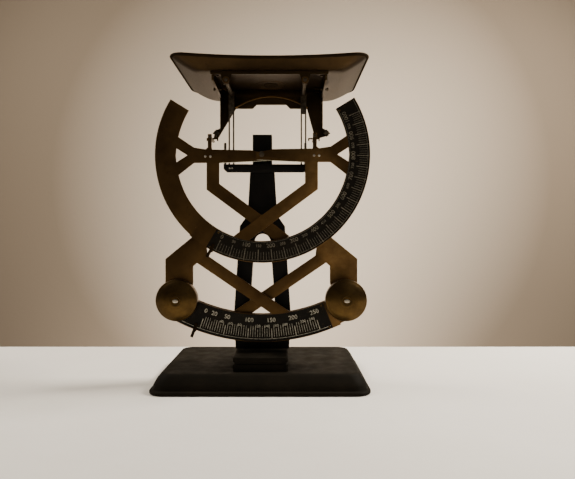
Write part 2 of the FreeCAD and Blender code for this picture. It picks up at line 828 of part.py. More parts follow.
def shoe_points(side):
    """The shoe at a leg's tip, from right to left: it rests on the load pin, between two lips."""
    right = f"{side} * shoe_middle + shoe_half"
    left = f"{side} * shoe_middle - shoe_half"
    top = "shoe_rise + shoe_wall"
    lip = "shoe_rise - shoe_lip"
    return [
        (right, top), (right, lip), (f"{right} - shoe_wall", lip), (f"{right} - shoe_wall", "shoe_rise"),
        (f"{left} + shoe_wall", "shoe_rise"), (f"{left} + shoe_wall", lip), (left, lip), (left, top),
        (f"{right} - leg_tip", top),
    ]


def make_carrier_plate():
    """The back plate under the pan: an apron with a raised notch, and two legs that end in shoes."""
    outline = [
        (across("leg_outer"), "pan_rise"),
        (across("leg_outer"), "leg_knee"),
        (across("ear_outer"), "ear_top"),
        (across("ear_outer"), "ear_bottom"),
        *shoe_points(1),
        (across("leg_inner"), "apron_bottom"),
        (across("apron_notch + apron_notch_rise"), "apron_bottom"),
        (across("apron_notch"), "apron_bottom + apron_notch_rise"),
        (across("0 - apron_notch"), "apron_bottom + apron_notch_rise"),
        (across("0 - apron_notch - apron_notch_rise"), "apron_bottom"),
        (across("0 - leg_inner"), "apron_bottom"),
        *shoe_points(-1),
        (across("0 - ear_outer"), "ear_bottom"),
        (across("0 - ear_outer"), "ear_top"),
        (across("0 - leg_outer"), "leg_knee"),
        (across("0 - leg_outer"), "pan_rise"),
    ]
    blank = plate("carrier_blank", outline, "plate_y - carrier_thickness / 2", "carrier_thickness")
    for side in (-1, 1):
        bore = rod(f"shaft_bore_{side + 1}", "shaft_radius", "tool_length", guide_x(side),
                   "plate_y - tool_reach", SHAFT_Z)
        blank = cut(f"carrier_bored_{side + 1}", blank, bore)
        bore = rod(f"leg_screw_bore_{side + 1}", "leg_screw_radius", "tool_length",
                   across(f"{side} * leg_screw_x"), "plate_y - tool_reach",
                   "fulcrum_height + leg_screw_rise")
        blank = cut(f"carrier_tapped_{side + 1}", blank, bore)
    return part(blank, "carrier_plate")


def make_front_bar():
    """The bar under the pan's front, with a pierced lug for each hanger shaft."""
    y = "0 - front_bar_y"
    under = "pan_rise - front_bar_height"
    bars = [plate("front_bar_strip", [
        (across("0 - front_bar_half"), under),
        (across("front_bar_half"), under),
        (across("front_bar_half"), "pan_rise"),
        (across("0 - front_bar_half"), "pan_rise"),
    ], y, "carrier_thickness")]
    for side in (-1, 1):
        middle = guide_x(side)
        low = "pan_rise - shaft_drop - shaft_radius * 2"
        bars.append(plate(f"front_lug_{side + 1}", [
            (f"{middle} - lug_width", f"{under} + lug_lap"),
            (f"{middle} - lug_tip", low),
            (f"{middle} + lug_tip", low),
            (f"{middle} + lug_width", f"{under} + lug_lap"),
        ], y, "carrier_thickness"))
    blank = fuse("front_bar_fused", bars)
    for side in (-1, 1):
        bore = rod(f"front_bore_{side + 1}", "shaft_radius", "tool_length", guide_x(side),
                   f"{y} - tool_start", SHAFT_Z)
        blank = cut(f"front_bar_bored_{side + 1}", blank, bore)
    return part(blank, "carrier_front_bar")


TAB_ROWS = ("0 - front_bar_y + carrier_thickness", "plate_y - carrier_thickness / 2 - tab_depth")


def tab_middle(side):
    """The middle of the tabs on one side bar, which the pan is screwed to."""
    return f"{side} * (side_bar_half - tab_width / 2)"


def make_side_bars():
    """The two edge-on bars that join the front bar to the back plate, with tabs for the pan's screws."""
    bars = []
    depth = "front_bar_y + plate_y - carrier_thickness * 1.5"
    for side in (-1, 1):
        web = block(f"side_web_{side + 1}", "carrier_thickness", depth, "side_bar_height",
                    across(f"{side} * side_bar_half"), TAB_ROWS[0],
                    "fulcrum_height + pan_rise - side_bar_height")
        pieces = [web]
        for row, y in enumerate(TAB_ROWS):
            pieces.append(block(f"side_tab_{side + 1}_{row}", "tab_width", "tab_depth",
                                "carrier_thickness", across(tab_middle(side)), y,
                                "fulcrum_height + pan_rise - carrier_thickness"))
        bar = fuse(f"side_bar_{side + 1}", pieces)
        for row, y in enumerate(TAB_ROWS):
            bore = rod(f"side_bore_{side + 1}_{row}", "pan_screw_radius", "tool_length",
                       across(tab_middle(side)), f"{y} + tab_depth / 2",
                       "fulcrum_height + pan_rise - tool_reach", RISING)
            bar = cut(f"side_bar_bored_{side + 1}_{row}", bar, bore)
        bore = rod(f"side_pin_bore_{side + 1}", "side_pin_radius", "tool_length",
                   across(f"{side} * (side_bar_half - tool_reach)"), "0 - side_pin_y",
                   "fulcrum_height + pan_rise - side_pin_drop", spin((0, 1, 0), 90 * side))
        bars.append(cut(f"side_bar_pierced_{side + 1}", bar, bore))
    return part(group("side_bar_pair", bars), "carrier_side_bars")


def make_shaft(tag, side):
    """A hanger shaft from the front bar to the back plate, and its link with a long slot."""
    x = guide_x(side)
    length = "front_bar_y + plate_y + carrier_thickness / 2 + 2 * shaft_end"
    part(rod(f"{tag}_shaft_rod", "shaft_radius", length, x, "0 - front_bar_y - shaft_end", SHAFT_Z),
         f"{tag}_hanger_shaft")
    width = "2 * (link_gap + link_wire)"
    rise = "pan_rise - shaft_drop + crossbar_top + crossbar_height / 2 + 2 * guide_pin_radius + link_end"
    outer = block(f"{tag}_link_blank", width, "link_thickness", rise, x, "0 - link_y",
                  f"{GUIDE_Z} - link_end")
    slot = block(f"{tag}_link_slot", "2 * link_gap", "tool_length", "link_slot", x,
                 "0 - link_y - tool_start", f"{GUIDE_Z} - guide_pin_radius - link_slack")
    bore = rod(f"{tag}_link_bore", "shaft_radius", "tool_length", x, "0 - link_y - tool_start", SHAFT_Z)
    part(cut(f"{tag}_link_bored", cut(f"{tag}_link_slotted", outer, slot), bore), f"{tag}_guide_link")


def make_shaft_nuts():
    """A ring nut on the front end of each hanger shaft."""
    nuts = []
    for side in (-1, 1):
        x = guide_x(side)
        ring = rod(f"shaft_nut_ring_{side + 1}", "shaft_nut_radius", "shaft_nut_thickness", x,
                   "0 - front_bar_y - shaft_nut_thickness", SHAFT_Z)
        bore = rod(f"shaft_nut_bore_{side + 1}", "shaft_radius", "tool_length", x,
                   "0 - front_bar_y - tool_reach", SHAFT_Z)
        nuts.append(cut(f"shaft_nut_{side + 1}", ring, bore))
    return part(group("shaft_nut_pair", nuts), "shaft_nuts")


def make_leg_screws():
    """A thumbscrew through the ear of each leg, just above its shoe."""
    screws = []
    z = "fulcrum_height + leg_screw_rise"
    face = "plate_y - carrier_thickness / 2"
    for side in (-1, 1):
        x = across(f"{side} * leg_screw_x")
        head = rod(f"leg_screw_head_{side + 1}", "leg_screw_head", "carrier_thickness", x,
                   f"{face} - carrier_thickness", z)
        shank = rod(f"leg_screw_shank_{side + 1}", "leg_screw_radius", "2 * carrier_thickness",
                    x, face, z)
        screws.append(fuse(f"leg_screw_{side + 1}", [head, shank]))
    return part(group("leg_screw_pair", screws), "leg_screws")


def make_side_pins():
    """A headed pin that stands out from each side bar."""
    pins = []
    z = "fulcrum_height + pan_rise - side_pin_drop"
    for side in (-1, 1):
        turn = spin((0, 1, 0), 90 * side)
        shank = rod(f"side_pin_shank_{side + 1}", "side_pin_radius",
                    "side_pin_reach - side_bar_half + side_pin_root",
                    across(f"{side} * (side_bar_half - side_pin_root)"), "0 - side_pin_y", z, turn)
        head = rod(f"side_pin_head_{side + 1}", "side_pin_head", "carrier_thickness",
                   across(f"{side} * (side_pin_reach - carrier_thickness)"), "0 - side_pin_y", z, turn)
        pins.append(fuse(f"side_pin_{side + 1}", [shank, head]))
    return part(group("side_pin_pair", pins), "side_pins")


def pan_plan(name, inset, lift):
    """The pan's outline seen from above: long sides that bow outwards, and rounded corners."""
    half_x = f"(pan_width / 2 - {inset})"
    half_y = f"(pan_depth / 2 - pan_bow - {inset})"
    radius = f"(pan_corner - {inset})"
    share = "(1 - cos(45 * 1 deg))"
    points = []
    arcs = []
    for x, y in ((1, 1), (-1, 1), (-1, -1), (1, -1)):
        on_end = (f"{x} * {half_x}", f"{y} * ({half_y} - {radius})")
        on_side = (f"{x} * ({half_x} - {radius})", f"{y} * {half_y}")
        bend = (f"{x} * ({half_x} - {radius} * {share})", f"{y} * ({half_y} - {radius} * {share})")
        first = len(points)
        arcs.append((first, *bend))
        if x * y > 0:
            points += [on_end, on_side]
            arcs.append((first + 1, "0", f"{y} * ({half_y} + pan_bow)"))
        else:
            points += [on_side, on_end]
    sketch = draw(doc.addObject("Sketcher::SketchObject", f"{name}_outline"), points, arcs)
    place(sketch, across("0"), "pan_middle", f"fulcrum_height + pan_rise + {lift}", RISING)
    return extrude(f"{name}_plan", sketch, (0, 0, 1), "pan_end_height * 2")


def dish(name, lift, inset):
    """A solid with flared sides and rounded corners, lifted above the pan's underside."""
    wedge = bind(
        doc.addObject("Part::Wedge", f"{name}_flare"),
        Ymin="0", Ymax="pan_end_height",
        Xmin="0 - pan_floor_width / 2", Xmax="pan_floor_width / 2",
        Zmin="0 - pan_floor_depth / 2", Zmax="pan_floor_depth / 2",
        X2min="0 - pan_width / 2", X2max="pan_width / 2",
        Z2min="0 - (pan_depth + pan_bow) / 2", Z2max="(pan_depth + pan_bow) / 2",
    )
    place(wedge, across("0"), "pan_middle", f"fulcrum_height + pan_rise + {lift}", UPRIGHT)
    return common(name, wedge, pan_plan(name, inset, lift))


PAN_SCREWS = [(across(tab_middle(side)), f"{y} + tab_depth / 2") for side in (-1, 1) for y in TAB_ROWS]


def make_pan():
    """The sheet brass pan: a flat floor, flared sides, and a rim that rises towards both ends."""
    end = "pan_width / 2"
    keep = plate("pan_trim", [
        (across(f"0 - {end}"), "pan_rise"), (across(end), "pan_rise"),
        (across(end), "pan_rise + pan_end_height"), (across(f"0 - {end}"), "pan_rise + pan_end_height"),
    ], "pan_middle - pan_depth / 2", "pan_depth", arcs=[(2, across("0"), "pan_rise + pan_side_height")])
    outside = common("pan_trimmed", dish("pan_outside", "0", "0"), keep)
    tray = cut("pan_tray", outside, dish("pan_inside", "pan_floor", "pan_floor"))
    for index, (x, y) in enumerate(PAN_SCREWS):
        hole = rod(f"pan_hole_{index}", "pan_screw_head", "tool_length", x, y,
                   "fulcrum_height + pan_rise - tool_reach", RISING)
        tray = cut(f"pan_holed_{index}", tray, hole)
    return part(tray, "pan")


def make_pan_screws():
    """Four screws with flat heads, flush with the pan's floor, that hold the pan to the side bars."""
    screws = []
    top = "fulcrum_height + pan_rise"
    for index, (x, y) in enumerate(PAN_SCREWS):
        head = rod(f"pan_screw_head_{index}", "pan_screw_head", "pan_floor", x, y, top, RISING)
        shank = rod(f"pan_screw_shank_{index}", "pan_screw_radius", "pan_screw_length", x, y,
                    f"{top} - pan_screw_length", RISING)
        screws.append(fuse(f"pan_screw_{index}", [head, shank]))
    return part(group("pan_screw_set", screws), "pan_screws")


def build():
    fill_sheet()
    make_base()
    make_foot()
    make_column()
    make_foot_screws()
    make_crossbar()
    make_stop_pegs()
    make_guide_pins()
    make_axle()
    make_lever_plate("scale_lever_plate", 1, "0 - front_plate_y")
    make_lever_plate("plain_lever_plate", -1, "0 - rear_plate_y")
    make_scale_faces()
    make_weight("left_weight", -1, "front_plate_y")
    make_weight("right_weight", 1, "rear_plate_y")
    make_load_bracket("right", 1, "front_plate_y")
    make_load_bracket("left", -1, "rear_plate_y")
    make_pointer("upper_pointer", "0 - pointer_angle", "arc_outer", "pointer_reach")
    make_pointer("lower_pointer", "0 - low_pointer_angle", "low_arc_outer", "pointer_reach")
    make_carrier_plate()
    make_front_bar()
    make_side_bars()
    make_shaft("left", -1)
    make_shaft("right", 1)
    make_shaft_nuts()
    make_leg_screws()
    make_side_pins()
    make_pan()
    make_pan_screws()
    doc.recompute()


def check_and_export():
    for item in doc.Objects:
        if "Invalid" in item.State or "Error" in item.State:
            raise RuntimeError(f"{item.Name} failed: {item.State}")
    os.makedirs("parts", exist_ok=True)
    for item in finished:
        if item.Shape.isNull() or not item.Shape.isValid():
            raise RuntimeError(f"{item.Label} has no valid shape")
    for item in finished:
        item.Shape.exportStep(f"parts/{item.Label}.step")
        box = item.Shape.BoundBox
        print(f"{item.Label}: {len(item.Shape.Solids)} solid(s), {item.Shape.Volume:.0f} mm3, "
              f"z {box.ZMin:.1f} to {box.ZMax:.1f}")


build()
check_and_export()
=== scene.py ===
"""The looks of a bilateral letter scale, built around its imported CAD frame, in metres."""

import json
import math

import bmesh
import bpy
from mathutils import Matrix, Vector

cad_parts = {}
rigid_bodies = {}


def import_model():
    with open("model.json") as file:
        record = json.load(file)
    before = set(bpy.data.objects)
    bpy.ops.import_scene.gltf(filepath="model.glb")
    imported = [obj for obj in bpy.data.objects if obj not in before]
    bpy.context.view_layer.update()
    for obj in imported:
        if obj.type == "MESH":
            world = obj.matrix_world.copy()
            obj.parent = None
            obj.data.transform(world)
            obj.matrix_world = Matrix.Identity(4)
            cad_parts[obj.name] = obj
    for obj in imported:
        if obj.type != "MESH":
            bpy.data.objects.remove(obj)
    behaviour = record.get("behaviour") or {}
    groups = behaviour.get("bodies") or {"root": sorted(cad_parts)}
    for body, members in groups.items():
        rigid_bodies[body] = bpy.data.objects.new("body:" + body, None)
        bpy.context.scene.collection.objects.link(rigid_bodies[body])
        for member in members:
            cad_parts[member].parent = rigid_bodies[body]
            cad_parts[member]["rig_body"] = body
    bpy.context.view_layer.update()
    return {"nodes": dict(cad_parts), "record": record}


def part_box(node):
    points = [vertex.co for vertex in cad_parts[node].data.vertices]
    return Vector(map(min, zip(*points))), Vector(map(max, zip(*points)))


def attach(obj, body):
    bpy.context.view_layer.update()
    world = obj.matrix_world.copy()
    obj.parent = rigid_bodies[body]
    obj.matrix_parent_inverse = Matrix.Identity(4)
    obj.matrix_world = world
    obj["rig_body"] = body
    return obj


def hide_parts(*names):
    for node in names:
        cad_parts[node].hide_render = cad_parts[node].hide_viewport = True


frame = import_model()
record = frame["record"]
nodes = frame["nodes"]
MM = 0.001
SAME_SPOT = 1e-6
FLAT_JOIN = math.radians(1)
SHARP_EDGE = math.radians(32)
RING_REACH = 0.02

# ---------------------------------------------------------------- places read from the frame

FULCRUM = Vector(next(j["pos_m"] for j in record["behaviour"]["joints"] if j["name"] == "scale_lever_turn"))


def span(node, axis):
    """How far a CAD node reaches along an axis."""
    low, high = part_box(node)
    return high[axis] - low[axis]


def middle(node):
    """The middle of a CAD node's box."""
    low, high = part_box(node)
    return (low + high) / 2


def on_arc(radius, angle, y):
    """A point at an angle from straight down at the fulcrum, positive to the right."""
    return Vector((radius * math.sin(angle), y, FULCRUM.z - radius * math.cos(angle)))


# ---------------------------------------------------------------- materials


class Shader:
    """A small helper that strings shader nodes together."""

    def __init__(self, name, roughness, metallic):
        self.material = bpy.data.materials.new(name)
        self.material.use_nodes = True
        self.tree = self.material.node_tree
        self.surface = self.tree.nodes["Principled BSDF"]
        self.surface.inputs["Roughness"].default_value = roughness
        self.surface.inputs["Metallic"].default_value = metallic
        self.place = self.add("ShaderNodeTexCoord").outputs["Object"]

    def add(self, kind, **settings):
        node = self.tree.nodes.new(kind)
        for name, value in settings.items():
            setattr(node, name, value)
        return node

    def feed(self, socket, value):
        """Links a socket to another node's output, or sets it to a plain value."""
        if isinstance(value, bpy.types.NodeSocket):
            self.tree.links.new(value, socket)
        else:
            socket.default_value = value

    def stretch(self, factors):
        """The object's own coordinates, scaled along each axis."""
        mapping = self.add("ShaderNodeMapping")
        self.feed(mapping.inputs["Vector"], self.place)
        mapping.inputs["Scale"].default_value = factors
        return mapping.outputs["Vector"]

    def noise(self, size, detail=4.0, rough=0.6, vector=None, distortion=0.0):
        """Noise whose features are about size metres across."""
        noise = self.add("ShaderNodeTexNoise")
        self.feed(noise.inputs["Vector"], vector or self.place)
        noise.inputs["Scale"].default_value = 1 / size
        noise.inputs["Detail"].default_value = detail
        noise.inputs["Roughness"].default_value = rough
        noise.inputs["Distortion"].default_value = distortion
        return noise.outputs["Fac"]

    def ramp(self, factor, stops):
        """A ramp through (place, brightness or colour) stops."""
        ramp = self.add("ShaderNodeValToRGB")
        self.feed(ramp.inputs["Fac"], factor)
        band = ramp.color_ramp
        while len(band.elements) < len(stops):
            band.elements.new(0.5)
        for element, (spot, colour) in zip(band.elements, stops):
            element.position = spot
            element.color = (*colour, 1) if isinstance(colour, tuple) else (colour, colour, colour, 1)
        return ramp.outputs["Color"]

    def mix(self, factor, first, second, how="MIX"):
        """Blends two colours."""
        mix = self.add("ShaderNodeMix", data_type="RGBA", blend_type=how)
        self.feed(mix.inputs[0], factor)
        self.feed(mix.inputs[6], (*first, 1) if isinstance(first, tuple) else first)
        self.feed(mix.inputs[7], (*second, 1) if isinstance(second, tuple) else second)
        return mix.outputs[2]

    def edges(self, low=0.52, high=0.6):
        """1 along outward edges, where a surface is rubbed bright."""
        pointed = self.add("ShaderNodeNewGeometry").outputs["Pointiness"]
        return self.ramp(pointed, [(low, 0.0), (high, 1.0)])

    def finish(self, colour, roughness=None, bump=None, depth=0.0001):
        """Wires up the surface and hands back the material."""
        self.feed(self.surface.inputs["Base Color"], colour)
        if roughness is not None:
            self.feed(self.surface.inputs["Roughness"], roughness)
        if bump is not None:
            node = self.add("ShaderNodeBump")
            self.feed(node.inputs["Height"], bump)
            node.inputs["Distance"].default_value = depth
            node.inputs["Strength"].default_value = 0.6
            self.feed(self.surface.inputs["Normal"], node.outputs["Normal"])
        return self.material


def brass(name, light, dark, stain, gloss=0.36, brushed=(1, 1, 14)):
    """Old brass: broad patches of brown patina, small dark stains, rubbed edges and fine scratches."""
    shader = Shader(name, gloss, 1.0)
    cloud = shader.ramp(shader.noise(0.03, 5, 0.6), [(0.3, 0.0), (0.72, 1.0)])
    colour = shader.mix(cloud, dark, light)
    stains = shader.ramp(shader.noise(0.0045, 6, 0.72), [(0.6, 0.0), (0.78, 0.7)])
    colour = shader.mix(stains, colour, stain)
    rubbed = shader.mix(1.0, shader.edges(0.53, 0.62), shader.noise(0.006, 4), "MULTIPLY")
    colour = shader.mix(rubbed, colour, tuple(min(1.0, 2.6 * part) for part in light))
    lines = shader.noise(0.0011, 3, 0.5, shader.stretch(brushed))
    rough = shader.ramp(lines, [(0.3, gloss - 0.08), (0.7, gloss + 0.14)])
    return shader.finish(colour, rough, lines, 0.00003)


def black_iron(name, base, worn, gloss=0.42, grain=0.0016, depth=0.00008, low=0.54, shine=0.3):
    """Black enamel or japan on iron, worn to brown metal along the edges."""
    shader = Shader(name, gloss, 0.0)
    shader.surface.inputs["Specular IOR Level"].default_value = shine
    shader.surface.inputs["IOR"].default_value = 1.25
    grime = shader.ramp(shader.noise(0.02, 6, 0.6), [(0.35, 0.0), (0.8, 1.0)])
    colour = shader.mix(grime, base, tuple(0.8 * b + 0.12 * w for b, w in zip(base, worn)))
    chips = shader.ramp(shader.noise(0.0022, 6, 0.75), [(0.6, 0.0), (0.7, 1.0)])
    rub = shader.mix(1.0, shader.edges(low, low + 0.07), chips, "MULTIPLY")
    colour = shader.mix(rub, colour, worn)
    grit = shader.noise(grain, 5, 0.6)
    rough = shader.ramp(shader.noise(0.012, 4, 0.55), [(0.3, gloss - 0.08), (0.7, gloss + 0.14)])
    return shader.finish(colour, rough, grit, depth)


def steel(name, light, dark):
    """Dull steel with a brown film."""
    shader = Shader(name, 0.4, 1.0)
    colour = shader.mix(shader.ramp(shader.noise(0.004, 5), [(0.35, 0.0), (0.65, 1.0)]), dark, light)
    lines = shader.noise(0.0008, 3, 0.5, shader.stretch((1, 9, 1)))
    return shader.finish(colour, shader.ramp(lines, [(0.3, 0.32), (0.7, 0.55)]), lines, 0.00003)


def filled_marks(name, worn, fresh):
    """Graduations filled with pale paint, yellowed and partly worn away."""
    shader = Shader(name, 0.55, 0.0)
    wear = shader.ramp(shader.noise(0.0016, 5, 0.7), [(0.36, 0.0), (0.6, 1.0)])
    colour = shader.mix(wear, worn, fresh)
    return shader.finish(colour, shader.ramp(wear, [(0.0, 0.7), (1.0, 0.5)]))


def turned_brass(name):
    """Lathe-turned brass: fine circular lines about the disc's own axis, and brown stains."""
    shader = Shader(name, 0.34, 1.0)
    cloud = shader.ramp(shader.noise(0.014, 5, 0.6), [(0.3, 0.0), (0.7, 1.0)])
    colour = shader.mix(cloud, (0.042, 0.025, 0.009), (0.092, 0.055, 0.018))
    stains = shader.ramp(shader.noise(0.0032, 6, 0.75), [(0.6, 0.0), (0.75, 0.7)])
    colour = shader.mix(stains, colour, (0.018, 0.012, 0.006))
    from_axis = shader.add("ShaderNodeUVMap").outputs["UV"]
    rings = shader.add("ShaderNodeTexWave", wave_type="BANDS", bands_direction="X")
    shader.feed(rings.inputs["Vector"], from_axis)
    rings.inputs["Scale"].default_value = 22
    rings.inputs["Distortion"].default_value = 0.6
    lines = rings.outputs["Fac"]
    return shader.finish(colour, shader.ramp(lines, [(0.0, 0.28), (1.0, 0.4)]), lines, 0.000012)


# Brass takes a light, a dark and a stain colour; iron takes a base colour and the one it wears to.
MATERIALS = {
    "aged_brass": brass("aged_brass", (0.105, 0.059, 0.021), (0.05, 0.028, 0.011), (0.02, 0.012, 0.006)),
    "pan_brass": brass("pan_brass", (0.046, 0.028, 0.012), (0.021, 0.0125, 0.0055), (0.009, 0.0055, 0.003),
                       gloss=0.4, brushed=(1, 10, 1)),
    "turned_brass": turned_brass("turned_brass"),
    "dark_brass": black_iron("dark_brass", (0.012, 0.0075, 0.0035), (0.12, 0.075, 0.03),
                             gloss=0.7, grain=0.0012, depth=0.00003, shine=0.06),
    "carrier_brass": brass("carrier_brass", (0.05, 0.031, 0.012), (0.02, 0.0125, 0.0055),
                           (0.01, 0.0065, 0.0035)),
    # A pale brass for the thin wire along each lever bar's lower edge: a painted highlight where the edge
    # catches light from the table below.
    "painted_highlight_brass": brass("painted_highlight_brass", (0.5, 0.42, 0.3), (0.22, 0.17, 0.1), (0.08, 0.06, 0.035),
                            gloss=0.25),
    "base_iron": black_iron("base_iron", (0.007, 0.006, 0.0042), (0.06, 0.043, 0.025),
                            gloss=0.62, grain=0.0022, depth=0.00018, shine=0.12),
    "column_iron": black_iron("column_iron", (0.0035, 0.0033, 0.003), (0.05, 0.038, 0.025), gloss=0.45),
    "scale_enamel": black_iron("scale_enamel", (0.005, 0.0045, 0.0036), (0.07, 0.05, 0.022),
                               gloss=0.45, grain=0.0012, depth=0.00004),
    "steel": steel("steel", (0.13, 0.105, 0.075), (0.045, 0.035, 0.024)),
    "bright_steel": steel("bright_steel", (0.62, 0.58, 0.5), (0.34, 0.3, 0.24)),
    "upper_marks": filled_marks("upper_marks", (0.035, 0.028, 0.016), (0.15, 0.13, 0.085)),
    "lower_marks": filled_marks("lower_marks", (0.13, 0.115, 0.08), (0.55, 0.52, 0.41)),
}
SLOT_OF = {entry["node"]: entry["material_slot"] for entry in record["subparts"]}


def paint(item, slot):
    """Gives a CAD node the material of its slot."""
    item.data.materials.clear()
    item.data.materials.append(MATERIALS[slot])


# ---------------------------------------------------------------- making pieces


def add_piece(name, mesh, body, slot, material=None, replaced=(), smooth=35):
    """Turns a finished mesh into a piece that rides on a body."""
    mesh.materials.clear()
    mesh.materials.append(MATERIALS[material or slot])
    for face in mesh.polygons:
        face.use_smooth = True
    mesh.set_sharp_from_angle(angle=math.radians(smooth))
    item = bpy.data.objects.new(name, mesh)
    bpy.context.scene.collection.objects.link(item)
    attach(item, body)
    if replaced:
        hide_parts(*replaced)
    return item


def mesh_from(build):
    """Makes a mesh by calling build with an empty bmesh."""
    work = bmesh.new()
    build(work)
    bmesh.ops.recalc_face_normals(work, faces=work.faces)
    mesh = bpy.data.meshes.new("piece")
    work.to_mesh(mesh)
    work.free()
    return mesh


def welded(node):
    """A CAD node's mesh to work on, with the corners of its faces joined."""
    work = bmesh.new()
    work.from_mesh(nodes[node].data)
    bmesh.ops.remove_doubles(work, verts=work.verts, dist=SAME_SPOT)
    return work


def bridge(work, lower, upper):
    """Faces between two closed rings of the same length."""
    for step in range(len(lower)):
        after = (step + 1) % len(lower)
        work.faces.new((lower[step], lower[after], upper[after], upper[step]))


def bridge_all(work, rings):
    """Faces between each ring and the next."""
    for lower, upper in zip(rings, rings[1:]):
        bridge(work, lower, upper)


def round_turn(steps):
    """Evenly spaced angles round a circle."""
    return [2 * math.pi * step / steps for step in range(steps)]


def softened(node, width, segments=2, material=None):
    """A copy of a CAD node with its sharp edges broken, to stand for it."""
    work = welded(node)
    bmesh.ops.dissolve_limit(work, angle_limit=FLAT_JOIN, verts=work.verts, edges=work.edges)
    sharp = [e for e in work.edges if len(e.link_faces) == 2 and e.calc_face_angle(0) > SHARP_EDGE]
    bmesh.ops.bevel(work, geom=sharp, offset=width, segments=segments, profile=0.6,
                    affect="EDGES", clamp_overlap=True)
    bmesh.ops.triangulate(work, faces=[f for f in work.faces if len(f.verts) > 4])
    mesh = bpy.data.meshes.new(node + "_soft")
    work.to_mesh(mesh)
    work.free()
    body = nodes[node]["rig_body"]
    return add_piece(node + "_finished", mesh, body, SLOT_OF[node], material, (node,))


def lathe(name, profile, centre, body, slot, replaced=(), steps=96, material=None, lobes=0):
    """A turned piece about an axis along Y.  The profile is (radius, y) pairs from front to back."""
    lobe_height = 0.4

    def build(work):
        uv = work.loops.layers.uv.new("rings")
        rings = []
        for radius, y in profile:
            ring = []
            for angle in round_turn(steps):
                away = radius * (1 + lobe_height * math.cos(lobes * angle) if lobes else 1)
                ring.append(work.verts.new((centre.x + away * math.cos(angle), y,
                                            centre.z + away * math.sin(angle))))
            rings.append(ring)
        bridge_all(work, rings)
        for face in work.faces:
            for loop in face.loops:
                from_axis = (loop.vert.co - Vector((centre.x, loop.vert.co.y, centre.z))).length
                loop[uv].uv = (from_axis / RING_REACH, 0)
        for ring in (rings[0], rings[-1]):
            work.faces.new(ring)
    return add_piece(name, mesh_from(build), body, slot, material, replaced, smooth=30)


def tube(name, points, radius, body, slot, closed=False, sides=12, material=None):
    """A round wire through points."""
    curve = bpy.data.curves.new(name + "_line", "CURVE")
    curve.dimensions = "3D"
    spline = curve.splines.new("POLY")
    spline.points.add(len(points) - 1)
    for spot, point in zip(spline.points, points):
        spot.co = (*point, 1)
    spline.use_cyclic_u = closed
    curve.bevel_depth = radius
    curve.bevel_resolution = sides // 4
    curve.use_fill_caps = not closed
    holder = bpy.data.objects.new(name + "_line", curve)
    mesh = bpy.data.meshes.new_from_object(holder)
    bpy.data.objects.remove(holder)
    return add_piece(name, mesh, body, slot, material, smooth=50)


def joined(meshes):
    """Several meshes as one."""
    work = bmesh.new()
    for mesh in meshes:
        work.from_mesh(mesh)
        bpy.data.meshes.remove(mesh)
    whole = bpy.data.meshes.new("joined")
    work.to_mesh(whole)
    work.free()
    return whole


# ---------------------------------------------------------------- base, column and crossbar


def rounded_ring(centre, half_x, half_y, corner, z, steps=10):
    """The points of a level rounded rectangle."""
    ring = []
    for quarter, (sign_x, sign_y) in enumerate(((1, 1), (-1, 1), (-1, -1), (1, -1))):
        for step in range(steps + 1):
            angle = math.pi / 2 * (quarter + step / steps)
            ring.append((centre.x + sign_x * (half_x - corner) + corner * math.cos(angle),
                         centre.y + sign_y * (half_y - corner) + corner * math.sin(angle), z))
    return ring


def cast_block(name, node, corner, profile, slot):
    """A casting built from level rings.  The profile is (inset in mm, share of the height) pairs."""
    low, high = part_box(node)
    centre = (low + high) / 2
    half = (high - low) / 2
    corner_loss = 0.4

    def build(work):
        rings = []
        for inset, level in profile:
            inset *= MM
            ring = rounded_ring(centre, half.x - inset, half.y - inset, corner - inset * corner_loss,
                                low.z + level * (high.z - low.z))
            rings.append([work.verts.new(point) for point in ring])
        bridge_all(work, rings)
        work.faces.new(rings[-1])
        work.faces.new(rings[0])
    add_piece(name, mesh_from(build), "stand", slot, replaced=(node,), smooth=32)


BASE_PROFILE = [
    (0.8, 0.0), (0.0, 0.05), (0.0, 0.15), (0.5, 0.2), (2.2, 0.23), (2.6, 0.28), (2.9, 0.4),
    (3.7, 0.52), (5.0, 0.66), (6.6, 0.8), (7.8, 0.9), (8.6, 0.96), (9.8, 0.99), (11.4, 1.0),
]
FOOT_PROFILE = [
    (0.0, 0.0), (0.0, 0.44), (0.15, 0.48), (0.8, 0.5), (1.0, 0.54), (1.0, 0.6), (0.8, 0.64),
    (0.15, 0.66), (0.0, 0.7), (0.0, 0.9), (0.3, 0.97), (1.0, 1.0),
]


def make_stand():
    """The base, its foot block, the column and the crossbar with what is fixed to them."""
    base_corner, foot_corner = 13 * MM, 2.4 * MM
    cast_block("base_finished", "base_casting", base_corner, BASE_PROFILE, "base_iron")
    cast_block("column_foot_finished", "column_foot", foot_corner, FOOT_PROFILE, "base_iron")
    softened("column_frame", 0.6 * MM)
    softened("crossbar", 0.5 * MM)
    softened("stop_pegs", 0.45 * MM, 3)
    softened("guide_pins", 0.25 * MM)
    softened("axle_nut", 0.35 * MM)
    axle = middle("fulcrum_axle")
    cap_radius, cap_height = span("fulcrum_axle", 0) / 2, 0.9 * MM
    cap_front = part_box("fulcrum_axle")[0].y - 0.1 * MM
    screw_head("axle_cap", axle.x, axle.z, cap_front, cap_radius, cap_height, "stand")
    left_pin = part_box("guide_pins")[0].x + 2.2 * MM
    rivet_height = middle("crossbar").z
    rivet_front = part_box("crossbar")[0].y - 0.35 * MM
    for order, shift in enumerate((-1.1 * MM, 1.1 * MM)):
        screw_head(f"crossbar_rivet_{order}", left_pin + shift, rivet_height, rivet_front,
                   0.75 * MM, 0.5 * MM, "stand", material="bright_steel")


# ---------------------------------------------------------------- pan


